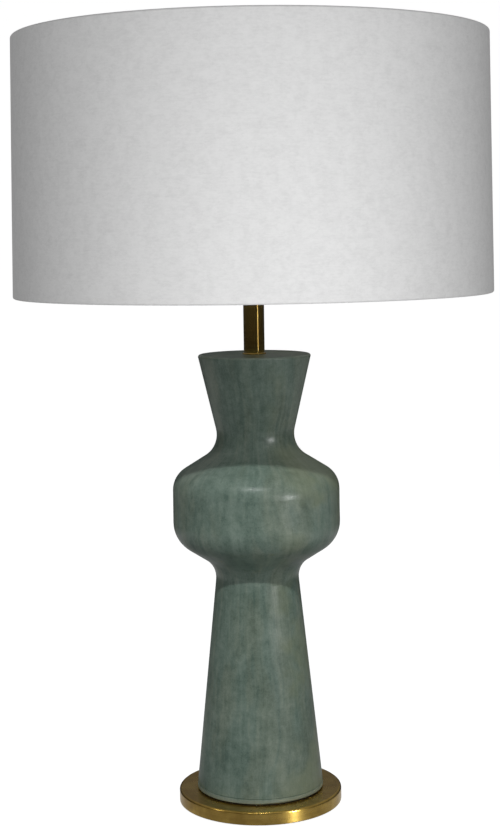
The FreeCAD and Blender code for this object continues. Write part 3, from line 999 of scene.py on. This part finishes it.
@dataclass
class DrumShade:
    """Cloth drum on its wire frame, with the carrier ring and the ring nut."""

    skin: float = 0.8 * MM
    gap: float = 0.05 * MM
    roll: float = 2.1 * MM
    pocket_roll: float = 1.5 * MM
    lip: float = 9.0 * MM
    lip_ragged: float = 0.35 * MM
    lip_blend: float = 0.3 * MM
    slit_half: float = 1.8 * MM
    slit_margin: float = 1.01
    slit_floor: float = 1.5 * MM
    slit_free: float = 0.8
    slit_steps: tuple[float, ...] = (-1.35, -1.0, -0.5, 0.0, 0.5, 1.0, 1.35)
    seam_angle: float = math.radians(112.0)
    seam_width: float = 13.0 * MM
    seam_rise: float = 0.65 * MM
    seam_fade: float = 0.75
    seam_steps: tuple[float, ...] = (-0.02, 0.0, 0.02, 0.5, 0.9, 1.0)
    ripple: float = 0.16 * MM
    ripples: int = 7
    film: float = 0.3 * MM
    film_gap: float = 0.02 * MM
    film_margin: float = 4.6 * MM
    sharp: float = 50.0
    sections: int = 288
    run: float = 11.0 * MM
    seed: int = 7

    def __post_init__(self) -> None:
        """Reads the drum's place from the frame and draws its ripples."""
        low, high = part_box("shade_cover")
        self.bottom, self.top = low.z, high.z
        rings = [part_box("shade_bottom_ring"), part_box("shade_top_ring")]
        self.levels = [(a.z + b.z) / 2.0 for a, b in rings]
        self.radii = [b.x + self.gap + self.skin for _, b in rings]
        self.wire = rings[0][1].z - rings[0][0].z
        draw = random.Random(self.seed)
        self.waves = [Wave.drawn(draw) for _ in range(self.ripples)]
        self.ragged = [draw.uniform(-1.0, 1.0) for _ in range(self.sections)]
        self.spokes = [self.spoke_angle(i) for i in (1, 2, 3)]

    @staticmethod
    def spoke_angle(number: int) -> float:
        """Direction of one spoke from the axis, in radians."""
        low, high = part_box(f"shade_spoke_{number}")
        return math.atan2(low.y + high.y, low.x + high.x)

    def radius(self, level: float) -> float:
        """Outer radius of the drum at a level."""
        share = (level - self.levels[0]) / (self.levels[1] - self.levels[0])
        return self.radii[0] + (self.radii[1] - self.radii[0]) * share

    def angles(self) -> list[float]:
        """Where the sections stand, closer together at the seam and at the slits.

        Returns:
            Their angles in rising order.
        """
        found = set(even_angles(self.sections))
        turn = 2.0 * math.pi
        for step in self.seam_steps:
            found.add((self.seam_angle + step * self.seam_width / self.radii[0]) % turn)
        for spoke in self.spokes:
            for step in self.slit_steps:
                found.add((spoke + step * self.slit_half / self.radii[0]) % turn)
        return sorted(found)

    def seam(self, angle: float) -> float:
        """How far the overlapping end of the cloth stands out.

        Args:
            angle: Direction from the axis.

        Returns:
            The lap's height, 0 beside it.
        """
        along = (angle - self.seam_angle) * self.radii[0]
        if along < 0.0 or along > self.seam_width:
            return 0.0
        return self.seam_rise * (1.0 - self.seam_fade * along / self.seam_width)

    def rippled(self, angle: float, level: float) -> float:
        """Slight unevenness of the stretched cloth, none at the wire rings.

        Args:
            angle: Direction from the axis.
            level: Height.

        Returns:
            How far the cloth stands out.
        """
        share = (level - self.bottom) / (self.top - self.bottom)
        held = math.sin(math.pi * min(1.0, max(0.0, share)))
        total = sum(wave.height(angle, level) for wave in self.waves)
        return self.ripple * held * total / len(self.waves)

    def lip_at(self, angle: float) -> float:
        """Width of the turned-in lip: hand cut, and slit at the spokes.

        Args:
            angle: Direction from the axis.

        Returns:
            The width.
        """
        for spoke in self.spokes:
            away = abs((angle - spoke + math.pi) % (2.0 * math.pi) - math.pi) * self.radii[0]
            if away < self.slit_half * self.slit_margin:
                return self.slit_floor
        place = angle / (2.0 * math.pi) * self.sections
        first = int(place) % self.sections
        share = place - int(place)
        ragged = self.ragged[first] * (1.0 - share) + self.ragged[(first + 1) % self.sections] * share
        return self.lip + self.lip_ragged * ragged

    def hem(self, rim: float, inward: float) -> list[Corner]:
        """Corners of one hem as (depth behind the wall, height).

        Args:
            rim: Height of the rim.
            inward: 1 where the cloth rises from the rim, -1 where it hangs from it.

        Returns:
            Corners from the wall outside, round the wire, to the wall inside.
        """
        pocket = self.skin + self.wire + 2.0 * self.gap
        fold = pocket + self.skin
        end = rim + self.lip * inward
        floor = rim + self.skin * inward
        return [
            Corner(0.0, rim, self.roll),
            Corner(fold, rim, self.roll),
            Corner(fold, end, self.lip_blend),
            Corner(pocket, end, self.lip_blend),
            Corner(pocket, floor, self.pocket_roll),
            Corner(self.skin, floor, self.pocket_roll),
        ]

    def cloth(self) -> Object:
        """Cloth drum, turned in over the rings and lapped at the back.

        Returns:
            Its object.
        """
        outline = self.hem(self.bottom, 1.0) + self.hem(self.top, -1.0)[::-1]
        free = self.slit_floor * self.slit_free
        middle = (self.bottom + self.top) / 2.0

        def hung(angle: float, point: Vector) -> Vector:
            """Hangs one point of the hems or the wall.

            Args:
                angle: Direction from the axis.
                point: The point as (depth behind the wall, height).

            Returns:
                The point as (radius, height).
            """
            depth, level = point
            rim, inward = (self.bottom, 1.0) if level < middle else (self.top, -1.0)
            out = (level - rim) * inward
            if depth > self.skin + self.wire and out > free:
                out = free + (out - free) * (self.lip_at(angle) - free) / (self.lip - free)
                level = rim + out * inward
            swell = self.rippled(angle, level)
            if depth < self.skin / 2.0:
                swell += self.seam(angle)
            return Vector((self.radius(level) - depth + swell, level))

        mesh = lathe("shade_cloth", outline, self.run, self.angles(), hung)
        replaced = ("shade_cover",)
        return Piece("shade_cloth", mesh, CLOTH, "shade", "shade_fabric", replaced, self.sharp).place()

    def backing(self) -> Object:
        """Film behind the cloth, between the hems.

        Returns:
            Its object.
        """
        low, high = self.bottom + self.film_margin, self.top - self.film_margin
        outline = [
            Corner(self.skin + self.film_gap, low),
            Corner(self.skin + self.film_gap, high),
            Corner(self.skin + self.film, high),
            Corner(self.skin + self.film, low),
        ]

        def hung(angle: float, point: Vector) -> Vector:
            """Hangs one point, given as depth behind the wall and height."""
            depth, level = point
            return Vector((self.radius(level) - depth + self.rippled(angle, level), level))

        mesh = lathe("shade_backing", outline, self.run, self.angles(), hung)
        return Piece("shade_backing", mesh, FILM, "shade", "shade_fabric").place()

    def build(self) -> list[Object]:
        """Models the cloth and its backing and dresses the frame.

        Returns:
            The modelled pieces.
        """
        dress(WIRE, "shade_bottom_ring", "shade_top_ring", "shade_carrier")
        dress(WIRE, "shade_spoke_1", "shade_spoke_2", "shade_spoke_3")
        dress(BRASS, "shade_ring_nut")
        return [self.cloth(), self.backing()]


class Lit(Enum):
    """What a soft box falls on."""

    ALL = "all"
    SHADE = "shade"
    REST = "rest"
    GLAZE = "glaze"
    BASE = "base"
    NECK = "neck"


class Part(Enum):
    """Which part of a surface's answer a soft box draws."""

    BOTH = (True, True)
    BODY = (True, False)
    GLOSS = (False, True)


@dataclass(frozen=True)
class SoftBox:
    """A rectangular soft light, aimed at a height on the lamp's axis."""

    name: str
    azimuth: float
    elevation: float
    distance: float
    width: float
    height: float
    power: float
    lit: Lit = Lit.ALL
    part: Part = Part.BOTH
    aim: float = 0.40

    def hang(self, group: Collection | None) -> None:
        """Puts the light in the scene, out of the camera's sight.

        Args:
            group: What it falls on, or nothing for all.
        """
        lamp = bpy.data.lights.new(self.name, "AREA")
        lamp.shape = "RECTANGLE"
        lamp.size = self.width
        lamp.size_y = self.height
        lamp.energy = self.power
        thing = linked(self.name, lamp)
        if group is not None:
            thing.light_linking.receiver_collection = group
        a, e = math.radians(self.azimuth), math.radians(self.elevation)
        out = Vector((math.sin(a) * math.cos(e), -math.cos(a) * math.cos(e), math.sin(e)))
        thing.location = out * self.distance + Vector((0.0, 0.0, self.aim))
        thing.rotation_euler = out.to_track_quat("Z", "Y").to_euler()
        thing.visible_camera = False
        thing.visible_diffuse, thing.visible_glossy = self.part.value


@dataclass
class Studio:
    """Pale floor that curves up all round, soft boxes and an even surround."""

    floor_rings: tuple[float, ...] = (0.0001, 0.5, 1.0, 2.0, 3.0)
    floor_radius: float = 4.2
    floor_drop: float = 0.2 * MM
    floor_sections: int = 96
    cove: float = 1.6
    cove_steps: int = 12
    wall: float = 5.0
    floor_tone: Colour = (0.26, 0.26, 0.26)
    floor_glow: float = 0.93
    ambient_high: float = 0.29
    ambient_low: float = 0.23
    horizon: float = 0.1
    seen: float = 0.99
    glossy_stops: tuple[tuple[float, float], ...] = (
        (-0.8, 0.12),
        (-0.5, 0.22),
        (-0.34, 0.50),
        (-0.20, 0.04),
        (0.12, 0.02),
        (0.34, 0.13),
        (0.58, 0.24),
        (1.0, 0.26),
    )
    boxes: tuple[SoftBox, ...] = (
        SoftBox("shade_front", 10.0, -4.0, 0.95, 0.30, 0.30, 4.3, Lit.SHADE, aim=0.50),
        SoftBox("shade_left", -75.0, 6.0, 1.60, 0.30, 0.90, 2.2, Lit.SHADE),
        SoftBox("body_right", 34.0, 4.0, 1.25, 0.35, 0.60, 2.4, Lit.REST, Part.BODY),
        SoftBox("body_front", -4.0, 39.0, 1.45, 0.08, 0.025, 9.0, Lit.REST, Part.BODY),
        SoftBox("key_glint", 45.0, 0.0, 1.25, 0.06, 0.09, 3.0, Lit.GLAZE, Part.GLOSS),
        SoftBox("front_glint", -4.0, 44.5, 1.45, 0.60, 0.05, 4.2, Lit.REST, Part.GLOSS),
        SoftBox("base_glint", 45.0, -12.0, 1.25, 0.06, 0.25, 9.5, Lit.BASE, Part.GLOSS),
        SoftBox("base_left_glint", -66.0, 22.0, 1.40, 0.08, 0.12, 1.6, Lit.BASE, Part.GLOSS),
        SoftBox("neck_glint", 44.0, -3.0, 1.25, 0.07, 0.45, 0.40, Lit.NECK, Part.GLOSS),
        SoftBox("back", 165.0, 30.0, 2.0, 1.20, 1.00, 7.0, Lit.ALL, Part.BODY),
    )

    def build(self, shade: Sequence[Object]) -> None:
        """Floor, lights and surround.

        Args:
            shade: The cloth pieces, which have soft boxes of their own.
        """
        self.floor()
        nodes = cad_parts
        groups = {
            Lit.ALL: None,
            Lit.SHADE: self.group("shade_only", shade, "INCLUDE"),
            Lit.REST: self.group("all_but_shade", shade, "EXCLUDE"),
            Lit.GLAZE: self.group("glaze_only", [nodes["ceramic_body"]], "INCLUDE"),
            Lit.BASE: self.group("base_only", [nodes["base_plate"]], "INCLUDE"),
            Lit.NECK: self.group("neck_only", [nodes["neck_tube"], nodes["neck_seat"]], "INCLUDE"),
        }
        for box in self.boxes:
            box.hang(groups[box.lit])
        self.surround()

    @staticmethod
    def group(name: str, pieces: Sequence[Object], state: str) -> Collection:
        """A collection that tells a light which pieces it falls on.

        Args:
            name: The collection's name.
            pieces: What it names.
            state: INCLUDE for these alone, EXCLUDE for all but these.

        Returns:
            The collection.
        """
        group = bpy.data.collections.new(name)
        for piece in pieces:
            group.objects.link(piece)
        for member in group.collection_objects:
            member.light_linking.link_state = state
        return group

    def floor(self) -> None:
        """A round floor with a cove, lit softly and a little by itself."""
        profile = [Vector((radius, -self.floor_drop)) for radius in self.floor_rings]
        for k in range(self.cove_steps + 1):
            a = math.radians(90.0 * k / self.cove_steps)
            out, up = self.cove * math.sin(a), self.cove * (1.0 - math.cos(a))
            profile.append(Vector((self.floor_radius + out, up)))
        profile.append(Vector((self.floor_radius + self.cove, self.wall)))
        angles = even_angles(self.floor_sections)
        vertices = [(p.x * math.cos(a), p.x * math.sin(a), p.y) for a in angles for p in profile]
        mesh = bpy.data.meshes.new("floor")
        mesh.from_pydata(vertices, [], bands(len(profile), len(angles), closed=False))
        mesh.shade_smooth()
        paper = bpy.data.materials.new("floor")
        shader = Shader(paper)
        matt = shader.node("ShaderNodeBsdfDiffuse", sockets={"Color": (*self.floor_tone, 1.0)})
        glow = shader.node("ShaderNodeEmission", sockets={"Strength": self.floor_glow})
        both = {0: shader.output(matt), 1: shader.output(glow)}
        shader.close(shader.node("ShaderNodeAddShader", sockets=both))
        mesh.materials.append(paper)
        thing = linked("floor", mesh)
        thing.visible_glossy = False
        thing.visible_diffuse = False
        thing.visible_shadow = False

    def surround(self) -> None:
        """Even light from all sides; reflections and the camera see levels of their own."""
        world = bpy.data.worlds.new("surround")
        shader = Shader(world)
        path = shader.node("ShaderNodeLightPath")
        glossy = shader.output(path, "Is Glossy Ray")
        direct = shader.output(path, "Is Camera Ray")
        _, _, rise = shader.split(shader.output(shader.node("ShaderNodeTexCoord"), "Generated"))
        below = rise.between(self.horizon, -self.horizon)
        soft = self.ambient_high + below * (self.ambient_low - self.ambient_high)
        stops = [((at + 1.0) / 2.0, (level, level, level)) for at, level in self.glossy_stops]
        mirrored, _, _ = shader.split(shader.ramp((rise + 1.0) / 2.0, stops))
        level = soft + glossy * (mirrored - soft)
        level = level + direct * (self.seen - level)
        white = (1.0, 1.0, 1.0, 1.0)
        sky = shader.node("ShaderNodeBackground", sockets={"Color": white, "Strength": level})
        shader.close(sky, "ShaderNodeOutputWorld")
        bpy.context.scene.world = world
        bpy.context.scene.view_settings.view_transform = "Standard"


@dataclass(frozen=True)
class Viewpoint:
    """The photograph's camera."""

    frame_height: int = 829
    focal_pixels: float = 1663.7
    sensor: float = 36.0
    reach: float = 50.0
    back: float = 1.5735
    side: float = -0.0049
    rise: float = 0.5524
    pitch: float = 6.36
    roll: float = 0.85

    def stand(self) -> None:
        """Makes the camera and looks through it."""
        lens = bpy.data.cameras.new("camera")
        lens.sensor_width = self.sensor
        lens.lens = self.focal_pixels * self.sensor / self.frame_height
        lens.clip_end = self.reach
        thing = linked("camera", lens)
        thing.location = (self.side, -self.back, self.rise)
        thing.rotation_mode = "XYZ"
        tilt = math.radians(90.0 - self.pitch)
        thing.rotation_euler = (tilt, 0.0, 0.0)
        thing.rotation_euler.rotate_axis("Z", math.radians(-self.roll))
        bpy.context.scene.camera = thing


def main() -> None:
    """Builds the lamp's pieces, the studio and the camera in order."""
    logging.basicConfig(level=logging.INFO, format="%(name)s: %(message)s")
    Viewpoint().stand()
    Stand().build()
    Body().build()
    Lampholder().build()
    Bulb().build()
    cloth = DrumShade().build()
    Studio().build(cloth)


if __name__ == "__main__":
    main()
